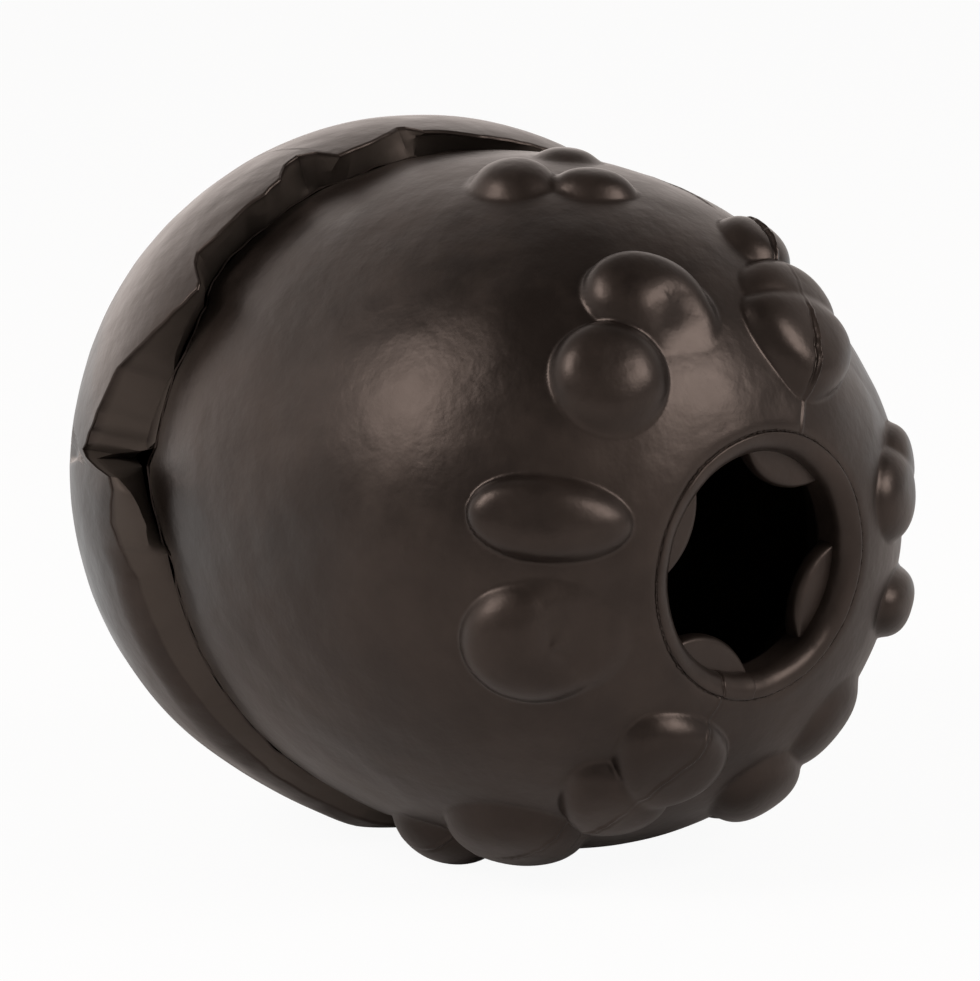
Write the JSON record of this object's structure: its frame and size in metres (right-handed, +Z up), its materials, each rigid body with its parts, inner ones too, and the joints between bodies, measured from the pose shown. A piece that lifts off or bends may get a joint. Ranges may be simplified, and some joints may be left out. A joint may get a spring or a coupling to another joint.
{
  "type": "treat dispensing ball",
  "caption": "Hollow egg-shaped rubber toy with raised knobs, a cracked shell over its rear, and a round mouth that flexible flaps half close to hold treats back.",
  "frame": {"origin": "centre of the bounding box in plan, at the level that the toy rests on", "axes": "+X along the toy towards its mouth, +Y to the toy's left, +Z up; the nose dips by about 4 degrees, because the toy rests on two knobs and on its shell"},
  "size_m": [0.1035, 0.0834, 0.0841],
  "materials": {
    "egg_rubber": "satin",
    "shell_rubber": "satin",
    "ring_rubber": "satin",
    "flap_rubber": "satin"
  },
  "bodies": {
    "egg": {"right_body_half": "egg_rubber", "left_body_half": "egg_rubber", "shell_cap": "shell_rubber", "mouth_ring": "ring_rubber"},
    "upper_left_flap": {"upper_left_flap": "flap_rubber"},
    "lower_left_flap": {"lower_left_flap": "flap_rubber"},
    "lower_right_flap": {"lower_right_flap": "flap_rubber"},
    "upper_right_flap": {"upper_right_flap": "flap_rubber"}
  },
  "joints": [
    {"name": "upper_left_flap_bend", "type": "hinge", "parent": "egg", "child": "upper_left_flap", "pos_m": [0.04793, 0.0059, 0.04949], "axis": [0.0325, -0.891, 0.4528], "range_deg": [-25, 25], "stiffness_Nm_per_rad": 0.005},
    {"name": "lower_left_flap_bend", "type": "hinge", "parent": "egg", "child": "lower_left_flap", "pos_m": [0.04667, 0.01158, 0.03206], "axis": [0.0638, 0.454, 0.8887], "range_deg": [-25, 25], "stiffness_Nm_per_rad": 0.005},
    {"name": "lower_right_flap_bend", "type": "hinge", "parent": "egg", "child": "lower_right_flap", "pos_m": [0.04627, -0.0059, 0.02639], "axis": [-0.0325, 0.891, -0.4528], "range_deg": [-25, 25], "stiffness_Nm_per_rad": 0.005},
    {"name": "upper_right_flap_bend", "type": "hinge", "parent": "egg", "child": "upper_right_flap", "pos_m": [0.04752, -0.01158, 0.04383], "axis": [-0.0638, -0.454, -0.8887], "range_deg": [-25, 25], "stiffness_Nm_per_rad": 0.005}
  ]
}
